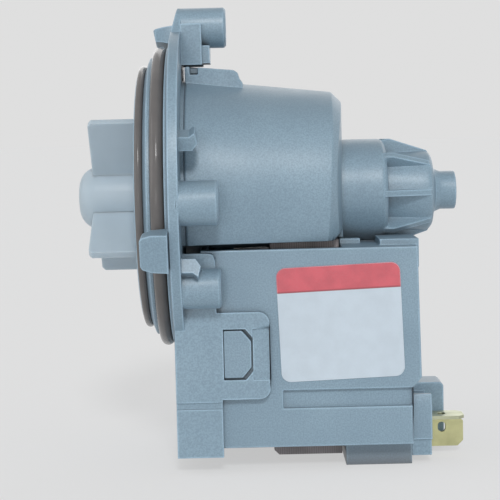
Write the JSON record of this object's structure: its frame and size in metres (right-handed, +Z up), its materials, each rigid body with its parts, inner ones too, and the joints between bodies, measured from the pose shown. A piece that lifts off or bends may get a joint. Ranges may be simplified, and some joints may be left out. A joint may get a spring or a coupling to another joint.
{
  "type": "washer drain pump",
  "caption": "Synchronous drain pump with a bayonet flange, sealing rings, a vaned impeller, a hood over the stator and a coil housing with flat terminals.",
  "frame": {"origin": "on the rotor axis, in the plane of the flange's front face", "axes": "+X along the rotor axis from the impeller to the rear stub, +Z up, away from the coils, +Y to the far side of the pictured view"},
  "size_m": [0.0868, 0.0778, 0.1028],
  "materials": {
    "casing_plastic": "moulded",
    "impeller_plastic": "moulded",
    "ring_rubber": "matt",
    "steel": "ground",
    "magnet_ferrite": "sintered",
    "lamination_iron": "rolled",
    "bush_bronze": "sintered",
    "bobbin_plastic": "moulded",
    "nylon": "moulded",
    "winding_copper": "enamelled",
    "terminal_brass": "stamped",
    "label_paper": "printed film"
  },
  "bodies": {
    "casing": {"flange_casing": "casing_plastic", "main_ring": "ring_rubber", "front_ring": "ring_rubber", "front_bearing": "bush_bronze", "front_bearing_seat": "ring_rubber", "rear_bearing": "bush_bronze", "rear_bearing_seat": "ring_rubber", "seal_carrier": "casing_plastic", "shaft_seal": "ring_rubber", "stator_hood": "casing_plastic", "coil_housing": "casing_plastic", "base_cover": "casing_plastic", "lamination_stack": "lamination_iron", "bobbin_near": "bobbin_plastic", "bobbin_far": "bobbin_plastic", "winding_near": "winding_copper", "winding_far": "winding_copper", "thermal_cutout": "bobbin_plastic", "connector_block": "casing_plastic", "terminal_upright": "terminal_brass", "terminal_flat": "terminal_brass", "label": "label_paper"},
    "rotor": {"rotor_shaft": "steel", "rotor_magnet": "magnet_ferrite", "rotor_sleeve": "nylon", "coupling_driver": "nylon", "front_thrust_washer": "steel", "rear_thrust_washer": "steel"},
    "impeller": {"impeller": "impeller_plastic", "coupling_cover": "impeller_plastic", "coupling_damper": "ring_rubber"}
  },
  "joints": [
    {"name": "rotor_spin", "type": "hinge", "parent": "casing", "child": "rotor", "pos_m": [0, 0, 0], "axis": [1, 0, 0], "continuous": true},
    {"name": "impeller_play", "type": "hinge", "parent": "rotor", "child": "impeller", "pos_m": [-0.01, 0, 0], "axis": [1, 0, 0], "range_deg": [-118, 118]}
  ]
}
